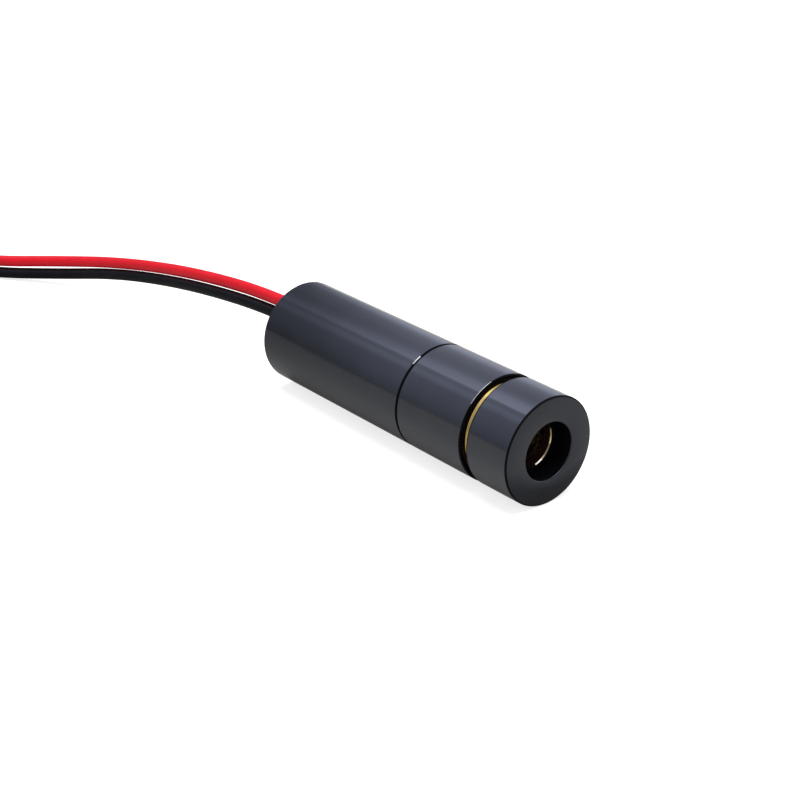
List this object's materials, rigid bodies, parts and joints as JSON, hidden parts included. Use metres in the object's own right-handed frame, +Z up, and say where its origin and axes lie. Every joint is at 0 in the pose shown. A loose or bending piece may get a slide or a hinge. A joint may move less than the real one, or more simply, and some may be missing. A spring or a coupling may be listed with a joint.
{
  "type": "laser diode module",
  "caption": "Round focusable laser diode module: black tube body, screwed focus cap with a lens on a brass thread, and a red and a black lead with bare ends.",
  "frame": {"origin": "on the surface that the module lies on, under the middle of its metal body", "axes": "+X along the beam, from the leads to the aperture; +Z up; +Y to the left of the beam"},
  "size_m": [0.1102, 0.0258, 0.0105],
  "materials": {
    "black_anodised": "black anodised, satin",
    "brass": "turned, with a fine thread",
    "lens_glass": "polished, coated",
    "spring_steel": "drawn wire and stamped washer",
    "gold_plate": "gold plated",
    "nickel_plate": "nickel plated",
    "window_glass": "clear, flat",
    "seal_glass": "fused dark green",
    "ceramic": "matt ceramic",
    "semiconductor": "polished",
    "board_green": "solder mask",
    "package_black": "moulded",
    "resistor_black": "glazed",
    "capacitor_tan": "sintered ceramic",
    "solder": "bright, flowed",
    "potting_resin": "cast, glossy",
    "tinned_copper": "tinned strands",
    "red_pvc": "smooth PVC",
    "black_pvc": "smooth PVC"
  },
  "bodies": {
    "housing": {"rear_housing": "black_anodised", "front_barrel": "black_anodised", "focus_spring": "spring_steel", "diode_retaining_ring": "brass", "diode_header": "gold_plate", "diode_can": "nickel_plate", "diode_window": "window_glass", "diode_pins": "gold_plate", "diode_glass_seals": "seal_glass", "laser_submount": "ceramic", "laser_chip": "semiconductor", "monitor_photodiode": "semiconductor", "driver_board": "board_green", "drive_transistor": "package_black", "control_ic": "package_black", "chip_resistors": "resistor_black", "chip_capacitors": "capacitor_tan", "filter_capacitor": "capacitor_tan", "solder_joints": "solder", "rear_potting": "potting_resin", "red_wire_core": "tinned_copper", "black_wire_core": "tinned_copper", "red_wire": "red_pvc", "black_wire": "black_pvc", "red_wire_coil": "red_pvc", "black_wire_coil": "black_pvc", "red_wire_end": "tinned_copper", "black_wire_end": "tinned_copper"},
    "washer": {"thrust_washer": "spring_steel"},
    "focus": {"focus_cap": "black_anodised", "lens_holder": "brass", "collimating_lens": "lens_glass", "lens_retainer": "brass"}
  },
  "joints": [
    {"name": "focus_travel", "type": "slide", "parent": "housing", "child": "washer", "axis": [1, 0, 0], "range_m": [-0.0008, 0.001], "deforming": ["focus_spring"]},
    {"name": "focus_turn", "type": "hinge", "parent": "washer", "child": "focus", "pos_m": [0.0149, 0, 0.00525], "axis": [1, 0, 0], "range_deg": [-577, 721]}
  ],
  "couplings": [
    {"joint": "focus_turn", "follows": "focus_travel", "rad_per_m": 12566}
  ]
}
